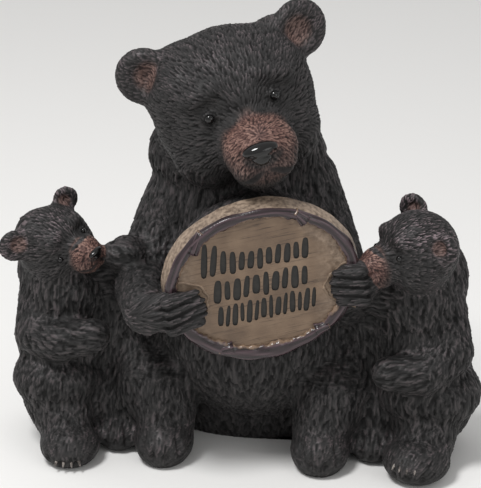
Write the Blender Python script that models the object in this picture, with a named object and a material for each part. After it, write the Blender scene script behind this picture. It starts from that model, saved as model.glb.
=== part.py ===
"""A mother bear and two cubs round an oval wooden plaque, cast in resin as one solid.

Blender 4.5, metres, +Z up. The bears face -Y and the origin is under the middle of the casting.
The bears' forms are written in figure units, one 160th of the figure's height, so they read as
millimetres on a figure 160 mm tall. The plaque has sizes of its own, and the mother's paws follow it.
"""

import math

import bmesh
import bpy
import numpy as np
from mathutils import Euler, Matrix, Vector

# Driving dimensions, in metres.
FIGURE_HEIGHT = 0.160
PLAQUE_WIDTH = 0.0675
PLAQUE_HEIGHT = 0.0560
PLAQUE_THICKNESS = 0.0085
PLAQUE_FLARE = 0.0018
RIM_WIDTH = 0.0028
RIM_HEIGHT = 0.0009
FACE_RECESS = 0.0006
STROKE_DEPTH = 0.0005

UNIT = FIGURE_HEIGHT / 160

# Voxel sizes in figure units and smoothing passes of the three stages of modelling, coarse to fine.
MASS_VOXEL, MASS_PASSES = 1.5, 16
LIMB_VOXEL, LIMB_PASSES = 1.1, 5
DETAIL_VOXEL, DETAIL_PASSES = 0.8, 1
CASTING_TRIANGLES = 7900
BALL_SIDES = 28
RIM_SIDES = 64


def clear_scene():
    for obj in list(bpy.data.objects):
        bpy.data.objects.remove(obj)


def placed(centre, turn=(0, 0, 0)):
    """The matrix of a form at this centre, turned by these degrees about X, Y and Z."""
    return Matrix.Translation(Vector(centre)) @ Euler([math.radians(a) for a in turn]).to_matrix().to_4x4()


def new_object(name, mesh):
    obj = bpy.data.objects.new(name, mesh)
    bpy.context.scene.collection.objects.link(obj)
    return obj


def evaluated(obj):
    """The object's mesh with its modifiers applied; the object itself is removed."""
    graph = bpy.context.evaluated_depsgraph_get()
    mesh = bpy.data.meshes.new_from_object(obj.evaluated_get(graph))
    bpy.data.objects.remove(obj)
    return mesh


def unit_ball():
    bm, mesh = bmesh.new(), bpy.data.meshes.new("unit_ball")
    bmesh.ops.create_uvsphere(bm, u_segments=BALL_SIDES, v_segments=BALL_SIDES // 2, radius=1)
    bm.to_mesh(mesh)
    bm.free()
    return mesh


FIGURE = Matrix.Scale(UNIT, 4)
UNIT_BALL = unit_ball()

# Where each head is, the way it looks and its size, the mother's being 1.
MAMA_HEAD = FIGURE @ placed((-1.9, -4, 123.6), (-3, -14.6, 18)) @ Matrix.Scale(0.99, 4)
LEFT_CUB_HEAD = FIGURE @ placed((-64.4, -14, 75.1), (-10.4, -25.1, 55.2)) @ Matrix.Scale(0.47, 4)
RIGHT_CUB_HEAD = FIGURE @ placed((62.2, -22, 79.6), (-1.8, 4.4, -61.6)) @ Matrix.Scale(0.508, 4)

# The plaque's frame has its origin at the middle of the plaque's back; its front faces -Y. The
# paws hold it at these heights in that frame.
LEFT_PAW = -0.0030
RIGHT_PAW = -0.0065
PLAQUE = placed(Vector((9.4, -33.5, 74.0)) * UNIT, (3, -10, 13))


def on_plaque(x, y, z):
    """The place, in figure units, of a point given in metres in the plaque's frame."""
    return tuple(PLAQUE @ Vector((x, y, z)) / UNIT)


def ball(bm, where, centre, radii, turn=(0, 0, 0)):
    """An ellipsoid, in the space of the matrix where."""
    shape = UNIT_BALL.copy()
    shape.transform(where @ placed(centre, turn) @ Matrix.Diagonal((*radii, 1)))
    bm.from_mesh(shape)
    bpy.data.meshes.remove(shape)


def limb(bm, where, joints):
    """A rounded limb through joints of (x, y, z, radius)."""
    for (ax, ay, az, ar), (bx, by, bz, br) in zip(joints, joints[1:]):
        start, end = Vector((ax, ay, az)), Vector((bx, by, bz))
        steps = max(2, math.ceil((end - start).length / (0.3 * min(ar, br))))
        for i in range(steps + 1):
            share = i / steps
            radius = ar + (br - ar) * share
            ball(bm, where, start.lerp(end, share), (radius, radius, radius))


def fused(base, shapes, voxel, passes):
    """One closed skin over the base mesh and the shapes, smoothed where they meet."""
    bm, mesh = bmesh.new(), bpy.data.meshes.new("forms")
    shapes(bm)
    if base:
        bm.from_mesh(base)
    bm.to_mesh(mesh)
    bm.free()
    obj = new_object("forms", mesh)
    remesh = obj.modifiers.new("Remesh", "REMESH")
    remesh.mode = "VOXEL"
    remesh.voxel_size = voxel * UNIT
    smooth = obj.modifiers.new("Smooth", "SMOOTH")
    smooth.factor = 0.5
    smooth.iterations = passes
    return evaluated(obj)


# Heads. A head is 60 units wide and looks along its own -Y.
# An ear is its centre, its radius and the degrees that its disc is turned about the head's Z.
MAMA_EARS = ((-27.3, 3, 19.5, 10.4, -18), (29.5, 3, 19.5, 10.6, 18))
LEFT_CUB_EARS = ((-29, 3, 21, 13, -24), (29, 3, 19.4, 10.6, -30))
RIGHT_CUB_EARS = ((-29, 10, 19, 11.6, 34), (27, 5.5, 13, 11, 24))


def ear_frame(ear):
    x, y, z, _, turn = ear
    return placed((x, y, z), (0, math.copysign(35, x), turn))


def head_masses(bm, where):
    ball(bm, where, (0, 1, 2), (29, 28, 27))
    for side in (-1, 1):
        ball(bm, where, (side * 14, -7, -9), (13, 15, 14))


def head_features(bm, where, ears):
    ball(bm, where, (0.5, -20, -6), (14.5, 13, 12.5))
    ball(bm, where, (0.5, -31, -7.8), (13, 12, 10.8))
    ball(bm, where, (0, -27, -14), (10.5, 11.5, 8.5))
    for side in (-1, 1):
        ball(bm, where, (side * 10, -16, 13.4), (11, 7, 6), (0, side * 12, 0))
        ball(bm, where, (side * 5, -35, -11.5), (6.5, 6.5, 6))
    for ear in ears:
        ball(bm, where @ ear_frame(ear), (0, 0, 0), (ear[3], 5.4, ear[3]))


def head_details(bm, where, eye, nose):
    ball(bm, where, (nose, -42.4, -4.6), (5.6, 3.2, 3.0))
    ball(bm, where, (nose, -42.2, -7), (3.2, 2.8, 2.6))
    for side in (-1, 1):
        ball(bm, where, (side * eye[0], eye[1], eye[2]), (3, 3, 3))
        ball(bm, where, (side * eye[0], eye[1] + 0.6, eye[2] + 2.4), (4.4, 3, 1.5), (0, side * 14, side * 14))


MAMA_EYE = (11.8, -23.2, 5.6)
CUB_EYE = (12.4, -23.4, 2)
# How far each nose is to the side of its head's middle.
MAMA_NOSE = -1.3
CUB_NOSE = 0.5


def masses(bm):
    head_masses(bm, MAMA_HEAD)
    head_masses(bm, LEFT_CUB_HEAD)
    head_masses(bm, RIGHT_CUB_HEAD)
    # The mother's crown is broad between her ears.
    for side in (-1, 1):
        ball(bm, MAMA_HEAD, (side * 11, 2, 9), (17.5, 22, 17))
    # Mother: seat, belly, chest, neck and hips.
    ball(bm, FIGURE, (4, 13, 22), (44, 27, 34))
    ball(bm, FIGURE, (4, 9, 40), (41, 39, 34))
    ball(bm, FIGURE, (3, 7, 62), (35, 34, 34))
    ball(bm, FIGURE, (0, 8, 86), (29, 25, 26))
    ball(bm, FIGURE, (-2.5, 7, 104), (32, 21, 21))
    for x in (-36, 40):
        ball(bm, FIGURE, (x, -2, 22), (14, 22, 24))
    # The chest swells forward to meet the plaque's back.
    ball(bm, PLAQUE, (0, 0.013, 0), (PLAQUE_WIDTH * 0.42, 0.0155, PLAQUE_HEIGHT * 0.42))
    # Left cub: seat, belly, chest and nape.
    ball(bm, FIGURE, (-63.5, -1, 19.5), (19, 18, 22))
    ball(bm, FIGURE, (-62.5, -9, 40), (18.5, 16, 22))
    ball(bm, FIGURE, (-62, -12, 57), (15, 13, 15))
    ball(bm, FIGURE, (-65.5, -7, 63), (13.5, 12, 15))
    ball(bm, FIGURE, (-46, -6, 48), (12, 12, 22))
    # Right cub: seat, belly, chest and nape.
    ball(bm, FIGURE, (65.5, -3, 20.5), (19.5, 18, 23))
    ball(bm, FIGURE, (64, -11, 44), (17.5, 16, 24))
    ball(bm, FIGURE, (63, -15, 60), (15, 13, 15))
    ball(bm, FIGURE, (68.2, -9, 65), (13.5, 12, 17))
    ball(bm, FIGURE, (47, -6, 48), (11, 12, 22))


def limbs(bm):
    head_features(bm, MAMA_HEAD, MAMA_EARS)
    head_features(bm, LEFT_CUB_HEAD, LEFT_CUB_EARS)
    head_features(bm, RIGHT_CUB_HEAD, RIGHT_CUB_EARS)
    # The mother's ears grow out of her crown on a thick root.
    for side in (-1, 1):
        ball(bm, MAMA_HEAD, (side * 20, 3, 21.5), (8, 6.5, 5.5))
    half = PLAQUE_WIDTH / 2
    front = -PLAQUE_THICKNESS
    # Mother's arms, from the shoulders to the paws on the plaque.
    left_wrist = on_plaque(-half - 0.006, front + 0.006, LEFT_PAW - 0.001)
    right_wrist = on_plaque(half + 0.002, front + 0.011, RIGHT_PAW - 0.005)
    limb(bm, FIGURE, [(-19.5, 7, 93, 13), (-26, 4, 79, 12.6), (-29.5, -1, 70, 12), (-34, -13, 61, 10.5),
        (*left_wrist, 8)])
    limb(bm, FIGURE, [(20.5, 7, 94, 13), (25.5, 4, 81, 13), (30, -1, 71, 12.5), (38, -12, 58, 10),
        (*right_wrist, 7)])
    ball(bm, FIGURE, on_plaque(-half + 0.002, front - 0.0002, LEFT_PAW), (11, 5.2, 7.4), (0, -4, 13))
    ball(bm, FIGURE, on_plaque(half - 0.0035, front - 0.0002, RIGHT_PAW), (8, 5.2, 8), (0, -4, 13))
    # Mother's legs and feet.
    for x, foot, reach in ((-27, -25, 0), (33, 30.5, 1.6)):
        limb(bm, FIGURE, [(x, -4, 26, 17), (x, -14 - reach, 23, 13.5), (foot, -21 - reach, 12, 10.5)])
        ball(bm, FIGURE, (foot, -25.5 - reach, 6.5), (10.6, 13.5, 9.4))
    # Left cub: arms, thigh and feet.
    limb(bm, FIGURE, [(-69.5, -12, 56, 8.8), (-70.5, -19, 43, 8.5), (-61, -26, 43, 7.4), (-49, -29, 47, 6)])
    limb(bm, FIGURE, [(-54, -8, 58, 8), (-46, -10, 67, 6.5), (-39, -14, 73, 6)])
    ball(bm, FIGURE, (-40, -17, 73), (8, 6, 5), (0, 0, -15))
    ball(bm, FIGURE, (-64.5, -17, 26), (16, 15, 12))
    limb(bm, FIGURE, [(-64, -17, 18, 13), (-60, -26, 9, 9)])
    ball(bm, FIGURE, (-58, -31.3, 6), (10.8, 12, 7.8), (0, 0, 12))
    ball(bm, FIGURE, (-46, -6, 16), (12, 16, 17))
    ball(bm, FIGURE, (-42.5, -16, 5.5), (9, 11.5, 7))
    # Right cub: arms, thigh and feet.
    limb(bm, FIGURE, [(71, -14, 58, 8.8), (74.5, -21, 43, 8.5), (66, -28, 37, 7.4), (54, -31, 38, 6)])
    limb(bm, FIGURE, [(54, -16, 60, 8), (48, -16, 62, 6.5)])
    ball(bm, FIGURE, (68, -16, 26), (18.5, 16, 13))
    limb(bm, FIGURE, [(67, -17, 18, 13), (67.5, -26, 9, 9.5)])
    ball(bm, FIGURE, (64.4, -32.5, 6.5), (12, 12.5, 7.8), (0, 0, 14))
    ball(bm, FIGURE, (50, -6, 16), (12, 16, 17))
    ball(bm, FIGURE, (48.5, -16, 5.5), (9, 12, 7))


def details(bm):
    head_details(bm, MAMA_HEAD, MAMA_EYE, MAMA_NOSE)
    head_details(bm, LEFT_CUB_HEAD, CUB_EYE, CUB_NOSE)
    head_details(bm, RIGHT_CUB_HEAD, CUB_EYE, CUB_NOSE)
    half = PLAQUE_WIDTH / 2
    front = -PLAQUE_THICKNESS
    # Four fingers of each paw, lying over the plaque's face.
    for side, reach, rise in ((-1, 0.0125, LEFT_PAW), (1, 0.0105, RIGHT_PAW)):
        for i in range(4):
            z = rise + (i - 1.5) * 0.0034
            bend = 0.0014 * (abs(i - 1.5) - 0.5)
            knuckle = on_plaque(side * (half - 0.001), front - 0.0042, z)
            tip = on_plaque(side * (half - reach + bend), front - 0.0016, z)
            limb(bm, FIGURE, [(*knuckle, 2.2), (*tip, 1.7)])


def coordinates(mesh, name="co"):
    values = np.empty(len(mesh.vertices) * 3)
    mesh.vertices.foreach_get(name, values)
    return values.reshape(-1, 3)


def dented(points, centre, radius, push):
    """Moves the points near the centre by push, fading to nothing at the radius."""
    near = np.sum((points - np.array(centre)) ** 2, axis=1) / radius ** 2
    points += np.clip(1 - near, 0, 1)[:, None] ** 2 * np.array(push)


def grooved(points, normals, line, width, depth):
    """Cuts a groove of this width and depth along a line of points."""
    nearest = np.full(len(points), np.inf)
    for start, end in zip(line, line[1:]):
        start, run = np.array(start), np.array(end) - np.array(start)
        along = np.clip((points - start) @ run / (run @ run), 0, 1)
        gap = np.linalg.norm(points - start - along[:, None] * run, axis=1)
        nearest = np.minimum(nearest, gap)
    points -= normals * (np.clip(1 - (nearest / width) ** 2, 0, 1) ** 1.5 * depth)[:, None]


def head_hollows(points, normals, where, ears, eye):
    """Eye sockets, ear bowls and the line of the mouth."""
    scale = where.to_scale().x
    for side in (-1, 1):
        inward = (where.to_3x3() @ Vector((0, 2.2, 0)))
        dented(points, where @ Vector((side * eye[0], -24.5, eye[2])), 6.5 * scale, inward)
        mouth = [where @ Vector(p) for p in ((0, -43, -11.5), (side * 5, -40.5, -15), (side * 10, -33, -15.5))]
        grooved(points, normals, mouth, 1.3 * scale, 1.1 * scale)
    grooved(points, normals, [where @ Vector((0, -45, -7)), where @ Vector((0, -43, -11.5))], 1.2 * scale, 1 * scale)
    for ear in ears:
        frame = where @ ear_frame(ear)
        side = math.copysign(1, ear[0])
        push = frame.to_3x3() @ Vector((0, 4.6, 0))
        dented(points, frame @ Vector((-side * 1.5, -5, -1)), ear[3] * 0.86 * scale, push)


def foot_grooves(points, normals, centre, length, aim, count, spread):
    """The gaps between the toes: short grooves that fan out over the front of a foot."""
    for i in range(count):
        angle = math.radians(aim + (i - (count - 1) / 2) * spread)
        out = Vector((math.sin(angle), -math.cos(angle), 0))
        line = [Vector(centre) + out * length * share + Vector((0, 0, drop))
            for share, drop in ((0.55, 2.2), (0.85, 0.4), (1.05, -5))]
        grooved(points, normals, [p * UNIT for p in line], 1.5 * UNIT, 1.2 * UNIT)


def sculpted(mesh, *strokes):
    for stroke in strokes:
        points, normals = coordinates(mesh), coordinates(mesh, "normal")
        stroke(points, normals)
        mesh.vertices.foreach_set("co", points.ravel())
        mesh.update()
    return mesh


def hollows(points, normals):
    head_hollows(points, normals, MAMA_HEAD, MAMA_EARS, MAMA_EYE)
    head_hollows(points, normals, LEFT_CUB_HEAD, LEFT_CUB_EARS, CUB_EYE)
    head_hollows(points, normals, RIGHT_CUB_HEAD, RIGHT_CUB_EARS, CUB_EYE)


def toes(points, normals):
    foot_grooves(points, normals, (-25, -25, 10), 13, 0, 4, 22)
    foot_grooves(points, normals, (30.5, -26.5, 10), 13, 0, 4, 22)
    foot_grooves(points, normals, (-58, -29, 8), 12.5, 6, 4, 24)
    foot_grooves(points, normals, (65, -31.5, 8.5), 12.5, -28, 4, 24)
    foot_grooves(points, normals, (-42.5, -17, 8), 10, 0, 3, 24)
    foot_grooves(points, normals, (48.5, -17, 8), 10, 0, 3, 24)


def plaque_ring(bm, inset, y, wobble=0.0):
    """An oval ring of vertices, this far inside the plaque's outline and this far in front of its back."""
    ring = []
    for i in range(RIM_SIDES):
        angle = 2 * math.pi * i / RIM_SIDES
        swell = wobble * (math.sin(5 * angle + 1) + 0.6 * math.sin(11 * angle) + 0.4 * math.sin(17 * angle + 2))
        x = (PLAQUE_WIDTH / 2 - inset + swell) * math.cos(angle)
        z = (PLAQUE_HEIGHT / 2 - inset + swell) * math.sin(angle)
        ring.append(bm.verts.new((x, -y, z)))
    return ring


def plaque_board():
    """The oval board with its raised bark rim and sunk face, closed."""
    bm, mesh = bmesh.new(), bpy.data.meshes.new("board")
    edge = PLAQUE_FLARE
    rings = [
        plaque_ring(bm, 0.0012, 0),
        plaque_ring(bm, 0, 0.001),
        plaque_ring(bm, edge, PLAQUE_THICKNESS - RIM_WIDTH * 0.8, 0.0001),
        plaque_ring(bm, edge - 0.0004, PLAQUE_THICKNESS - RIM_WIDTH * 0.35, 0.00025),
        plaque_ring(bm, edge + RIM_WIDTH * 0.1, PLAQUE_THICKNESS + RIM_HEIGHT * 0.7, 0.00025),
        plaque_ring(bm, edge + RIM_WIDTH * 0.45, PLAQUE_THICKNESS + RIM_HEIGHT, 0.00025),
        plaque_ring(bm, edge + RIM_WIDTH * 0.85, PLAQUE_THICKNESS + RIM_HEIGHT * 0.4, 0.0003),
        plaque_ring(bm, edge + RIM_WIDTH, PLAQUE_THICKNESS - FACE_RECESS, 0.0003),
    ]
    for lower, upper in zip(rings, rings[1:]):
        for i in range(RIM_SIDES):
            j = (i + 1) % RIM_SIDES
            bm.faces.new((lower[i], lower[j], upper[j], upper[i]))
    bm.faces.new(rings[0][::-1])
    bm.faces.new(rings[-1])
    bmesh.ops.recalc_face_normals(bm, faces=bm.faces)
    bm.to_mesh(mesh)
    bm.free()
    return mesh


def plaque_stub(bm, angle, length):
    """A cut-off twig standing out of the bark rim at this angle round the oval."""
    turn = math.radians(angle)
    x = (PLAQUE_WIDTH / 2 - PLAQUE_FLARE - 0.0005) * math.cos(turn)
    z = (PLAQUE_HEIGHT / 2 - PLAQUE_FLARE - 0.0005) * math.sin(turn)
    aim = Matrix.Rotation(math.pi / 2 - turn, 4, "Y")
    bmesh.ops.create_cone(bm, cap_ends=True, segments=8, radius1=0.0024, radius2=0.0013, depth=length,
        matrix=Matrix.Translation((x, 0.0008 - PLAQUE_THICKNESS, z)) @ aim)


def plaque_stubs():
    bm, mesh = bmesh.new(), bpy.data.meshes.new("stubs")
    for angle, length in ((130, 0.007), (54, 0.0055), (-58, 0.0065), (-122, 0.0055)):
        plaque_stub(bm, angle, length)
    bm.to_mesh(mesh)
    bm.free()
    return mesh


def plaque_strokes():
    """Slots for the three rows of carved strokes, each a slanted bar that is no letter."""
    bm, mesh = bmesh.new(), bpy.data.meshes.new("strokes")
    face = PLAQUE_THICKNESS - FACE_RECESS
    # Each row: its middle, its length and height, and how many strokes it has.
    rows = ((-0.001, 0.0085, 0.038, 0.0070, 9), (0.001, -0.0020, 0.033, 0.0068, 8), (0.002, -0.0098, 0.034, 0.0056, 10))
    for middle_x, z, length, height, count in rows:
        pitch = length / count
        for i in range(count):
            x = middle_x + (i - (count - 1) / 2) * pitch
            tall = height * (0.85 + 0.15 * math.sin(2.4 * i + z * 900))
            lean = math.radians(22 * math.sin(1.7 * i + z * 500))
            bmesh.ops.create_cube(bm, size=1, matrix=Matrix.Translation((x, -face, z))
                @ Matrix.Rotation(lean, 4, "Y") @ Matrix.Diagonal((pitch * 0.42, STROKE_DEPTH * 2, tall, 1)))
    bm.to_mesh(mesh)
    bm.free()
    return mesh


def cut_or_joined(base, other, operation):
    """The base mesh with the other one joined to it or cut out of it."""
    obj, tool = new_object("base", base), new_object("tool", other)
    boolean = obj.modifiers.new("Boolean", "BOOLEAN")
    boolean.operation = operation
    boolean.object = tool
    result = evaluated(obj)
    bpy.data.objects.remove(tool)
    return result


def fine_places():
    """The centres and radii, in metres, of the parts that keep more of their triangles."""
    places = []
    for head in (MAMA_HEAD, LEFT_CUB_HEAD, RIGHT_CUB_HEAD):
        places.append((head @ Vector((0, -32, -4)), 24 * head.to_scale().x))
    places.append((PLAQUE @ Vector((-PLAQUE_WIDTH / 2, -PLAQUE_THICKNESS, LEFT_PAW)), 15 * UNIT))
    places.append((PLAQUE @ Vector((PLAQUE_WIDTH / 2, -PLAQUE_THICKNESS, RIGHT_PAW)), 15 * UNIT))
    for x, y in ((-25, -34), (30.5, -36), (-58, -38), (65, -40)):
        places.append((Vector((x, y, 4)) * UNIT, 12 * UNIT))
    return places


def thinned(mesh, triangles):
    """The mesh with about this many triangles, the finest at the faces, paws and feet."""
    obj = new_object("casting", mesh)
    points = coordinates(mesh)
    share = np.ones(len(points))
    for centre, radius in fine_places():
        gap = np.linalg.norm(points - np.array(centre), axis=1) / radius
        share = np.minimum(share, np.clip(gap, 0.5, 1))
    group = obj.vertex_groups.new(name="plain")
    for level in range(1, 9):
        chosen = np.nonzero(np.ceil(share * 8) == level)[0]
        group.add(chosen.tolist(), level / 8, "REPLACE")
    decimate = obj.modifiers.new("Decimate", "DECIMATE")
    decimate.ratio = triangles / (2 * len(mesh.polygons))
    decimate.vertex_group = "plain"
    decimate.vertex_group_factor = 0.02
    return evaluated(obj)


def ground_block():
    """The block under the ground that cuts the feet and the seats off flat."""
    bm, mesh = bmesh.new(), bpy.data.meshes.new("ground")
    size = 2 * FIGURE_HEIGHT
    bmesh.ops.create_cube(bm, size=size, matrix=Matrix.Translation((0, 0, -size / 2)))
    bm.to_mesh(mesh)
    bm.free()
    return mesh


def finished(mesh):
    """Merges the slivers that the cuts leave and splits the faces into triangles."""
    bm = bmesh.new()
    bm.from_mesh(mesh)
    bmesh.ops.remove_doubles(bm, verts=bm.verts, dist=0.00001)
    bmesh.ops.dissolve_degenerate(bm, edges=bm.edges, dist=0.00001)
    bmesh.ops.triangulate(bm, faces=bm.faces)
    bm.to_mesh(mesh)
    bm.free()
    return mesh


def middle(mesh):
    """The point of the ground under the middle of the mesh's box."""
    points = coordinates(mesh)
    x, y, _ = (points.min(axis=0) + points.max(axis=0)) / 2
    return Vector((x, y, 0))


def resin():
    material = bpy.data.materials.new("painted_resin")
    material.use_nodes = True
    shader = material.node_tree.nodes["Principled BSDF"]
    shader.inputs["Base Color"].default_value = (0.045, 0.04, 0.042, 1)
    shader.inputs["Roughness"].default_value = 0.5
    return material


def build():
    clear_scene()
    first = fused(None, masses, MASS_VOXEL, MASS_PASSES)
    second = sculpted(fused(first, limbs, LIMB_VOXEL, LIMB_PASSES), hollows)
    third = sculpted(fused(second, details, DETAIL_VOXEL, DETAIL_PASSES), toes)
    bears = thinned(third, CASTING_TRIANGLES)
    board = cut_or_joined(plaque_board(), plaque_stubs(), "UNION")
    board = cut_or_joined(board, plaque_strokes(), "DIFFERENCE")
    board.transform(PLAQUE)
    casting = cut_or_joined(bears, board, "UNION")
    casting = cut_or_joined(casting, ground_block(), "DIFFERENCE")
    casting = finished(casting)
    shift = middle(casting)
    casting.transform(Matrix.Translation(-shift))
    casting.materials.clear()
    casting.materials.append(resin())
    new_object("bear_figurine", casting)
    return shift


shift = build()
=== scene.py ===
# A mother bear and two cubs round an oval plaque: one resin casting, painted by hand.
# The bears are sculpted here down to the carved fur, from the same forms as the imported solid.

import math

import bpy
import numpy as np
from mathutils import Euler, Matrix, Vector
from mathutils.kdtree import KDTree

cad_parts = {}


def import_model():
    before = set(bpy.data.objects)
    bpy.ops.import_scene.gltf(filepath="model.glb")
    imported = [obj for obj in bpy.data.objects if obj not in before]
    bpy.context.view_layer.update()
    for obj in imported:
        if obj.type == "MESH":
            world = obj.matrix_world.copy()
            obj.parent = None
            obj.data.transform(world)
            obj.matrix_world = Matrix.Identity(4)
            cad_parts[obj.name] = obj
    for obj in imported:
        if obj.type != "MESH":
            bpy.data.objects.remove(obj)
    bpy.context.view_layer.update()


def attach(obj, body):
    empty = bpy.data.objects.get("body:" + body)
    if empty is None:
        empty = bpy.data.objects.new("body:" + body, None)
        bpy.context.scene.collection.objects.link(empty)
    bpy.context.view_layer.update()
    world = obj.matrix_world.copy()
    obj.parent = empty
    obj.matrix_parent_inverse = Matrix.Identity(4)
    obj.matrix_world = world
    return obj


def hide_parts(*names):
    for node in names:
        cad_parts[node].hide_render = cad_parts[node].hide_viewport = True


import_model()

# The sculpture is modelled in millimetres, with its middle where the maker's forms have it.
# Each finished piece is then moved and scaled to the frame, which is in metres.
castingMiddle = Vector((1.962, -3.902, 0))
toFrame = Matrix.Scale(0.001, 4) @ Matrix.Translation(-castingMiddle)
random = np.random.default_rng(7)


def placed(centre, turn=(0, 0, 0)):
    return Matrix.Translation(Vector(centre)) @ Euler([math.radians(a) for a in turn]).to_matrix().to_4x4()


def deselectAll():
    if bpy.context.object and bpy.context.object.mode != "OBJECT":
        bpy.ops.object.mode_set(mode="OBJECT")
    bpy.ops.object.select_all(action="DESELECT")


def activate(obj):
    deselectAll()
    obj.select_set(True)
    bpy.context.view_layer.objects.active = obj


def madeObject(name, mesh):
    obj = bpy.data.objects.new(name, mesh)
    bpy.context.scene.collection.objects.link(obj)
    return obj


def joined(meshes, name):
    deselectAll()
    parts = [madeObject(name, mesh) for mesh in meshes]
    for part in parts:
        part.select_set(True)
    bpy.context.view_layer.objects.active = parts[0]
    if len(parts) > 1:
        bpy.ops.object.join()
    return bpy.context.view_layer.objects.active


def applied(obj):
    activate(obj)
    for modifier in list(obj.modifiers):
        bpy.ops.object.modifier_apply(modifier=modifier.name)
    return obj


# Materials

def hexColour(text):
    parts = [int(text[i:i + 2], 16) / 255 for i in (1, 3, 5)]
    return (*[v / 12.92 if v <= 0.04045 else ((v + 0.055) / 1.055) ** 2.4 for v in parts], 1)


def addNode(tree, kind, inputs=(), **settings):
    node = tree.nodes.new(kind)
    for name, value in settings.items():
        setattr(node, name, value)
    for key, value in dict(inputs).items():
        socket = node.inputs[key]
        if isinstance(value, bpy.types.NodeSocket):
            tree.links.new(value, socket)
        else:
            socket.default_value = value
    return node


def newMaterial(name):
    material = bpy.data.materials.new(name)
    material.use_nodes = True
    return material, material.node_tree, material.node_tree.nodes["Principled BSDF"]


def ramp(tree, factor, stops):
    node = addNode(tree, "ShaderNodeValToRGB", {"Fac": factor})
    elements = node.color_ramp.elements
    while len(elements) < len(stops):
        elements.new(0.5)
    for element, (position, colour) in zip(elements, stops):
        element.position = position
        element.color = hexColour(colour)
    return node.outputs["Color"]


def objectPlace(tree):
    return addNode(tree, "ShaderNodeTexCoord").outputs["Object"]


def attribute(tree, name, output="Fac"):
    return addNode(tree, "ShaderNodeAttribute", attribute_name=name).outputs[output]


def noise(tree, place, scale, detail=3, **more):
    inputs = {"Vector": place, "Scale": scale, "Detail": detail, **more}
    return addNode(tree, "ShaderNodeTexNoise", inputs).outputs["Fac"]


def rescaled(tree, value, low, high, toLow=0, toHigh=1, **settings):
    inputs = {"Value": value, "From Min": low, "From Max": high, "To Min": toLow, "To Max": toHigh}
    return addNode(tree, "ShaderNodeMapRange", inputs, **settings).outputs["Result"]


def reckoned(tree, operation, first, second, clamp=False):
    return addNode(tree, "ShaderNodeMath", {0: first, 1: second}, operation=operation, use_clamp=clamp).outputs[0]


def mixed(tree, factor, first, second):
    inputs = {"Factor": factor, "A": first, "B": second}
    return addNode(tree, "ShaderNodeMix", inputs, data_type="RGBA").outputs["Result"]


def bumped(tree, height, strength, distance, **more):
    inputs = {"Height": height, "Strength": strength, "Distance": distance, **more}
    return addNode(tree, "ShaderNodeBump", inputs).outputs["Normal"]


# Hand-painted stone resin: charcoal on the locks, near-black in the cuts of the fur as painted shade, and a
# dry-brushed mauve grey on what stands proud, laid on thicker as painted top light. The muzzles and ears are washed
# red-brown.
resinPaint = {
    "cuts": "#0b0a0a", "locks": "#242323", "proud": "#3a3737", "dryBrushAndPaintedLight": "#7c6d71",
    "warmCuts": "#1f1412", "warmLocks": "#563d38", "warmTips": "#b28e7f",
    "specular": 0.32, "grainMm": 0.35,
}


def paintedResin():
    material, tree, shader = newMaterial("hand_painted_resin")
    relief, dryAndPaintedLight, warm = [attribute(tree, name) for name in ("relief", "dryBrushAndPaintedLight", "warmWash")]
    place = objectPlace(tree)
    patches = noise(tree, place, 1 / 0.006)
    grain = noise(tree, place, 1000 / resinPaint["grainMm"], 2)
    # Hairs about 0.5 mm wide and 5 mm long, finer than the carved strokes, along the fur. They lift and sink the
    # relief, so each hair is painted with its own light and shade as well as bumped.
    wave = addNode(tree, "ShaderNodeTexNoise", {"Vector": place, "Scale": 1 / 0.009, "Detail": 1})
    bent = addNode(tree, "ShaderNodeVectorMath", {0: wave.outputs["Color"], 1: (0.004,) * 3, 2: place},
        operation="MULTIPLY_ADD").outputs[0]
    streaks = []
    for stretch in ((1, 1, 0.11), (0.11, 0.5, 1)):
        along = addNode(tree, "ShaderNodeVectorMath", {0: bent, 1: stretch}, operation="MULTIPLY").outputs[0]
        streaks.append(noise(tree, along, 1 / 0.0011, 2, Roughness=0.6))
    upright, hairy = attribute(tree, "upright"), attribute(tree, "hairy")
    streak = addNode(tree, "ShaderNodeMix", {0: upright, 2: streaks[1], 3: streaks[0]}).outputs[0]
    hair = reckoned(tree, "MULTIPLY", rescaled(tree, streak, 0.3, 0.7, -0.36, 0.36), hairy)
    relief = reckoned(tree, "ADD", relief, hair, True)
    # Painted shade: the charcoal darkens to near-black in the cuts and pales towards the proud tips.
    charcoalAndCutShade = ramp(tree, relief, (
        (0.0, resinPaint["cuts"]), (0.4, resinPaint["locks"]), (0.9, resinPaint["proud"])))
    # The brush only touches the tips, more in some patches than in others, and more where the painted top light is
    # laid on.
    tips = rescaled(tree, relief, 0.46, 0.86, interpolation_type="SMOOTHSTEP")
    patchy = rescaled(tree, patches, 0.3, 0.7, 0.45, 1.2)
    brushedAndPaintedLight = reckoned(tree, "MULTIPLY", reckoned(tree, "MULTIPLY", tips, patchy), dryAndPaintedLight, True)
    fur = mixed(tree, brushedAndPaintedLight, charcoalAndCutShade, hexColour(resinPaint["dryBrushAndPaintedLight"]))
    # The wash is darkest in the cuts too, as painted shade.
    wash = ramp(tree, relief, (
        (0.0, resinPaint["warmCuts"]), (0.4, resinPaint["warmLocks"]), (0.95, resinPaint["warmTips"])))
    bump = bumped(tree, hair, 0.8, 0.0004, Normal=bumped(tree, grain, 0.25, 0.0002))
    # The cuts hold dull paint, so the gloss stays on the strokes.
    dull = rescaled(tree, relief, 0.15, 0.8, 0.35, 0)
    rough = reckoned(tree, "ADD", rescaled(tree, patches, 0.3, 0.7, 0.36, 0.56), dull, True)
    tree.links.new(mixed(tree, warm, fur, wash), shader.inputs["Base Color"])
    tree.links.new(bump, shader.inputs["Normal"])
    tree.links.new(rough, shader.inputs["Roughness"])
    shader.inputs["Specular IOR Level"].default_value = resinPaint["specular"]
    return material


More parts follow.
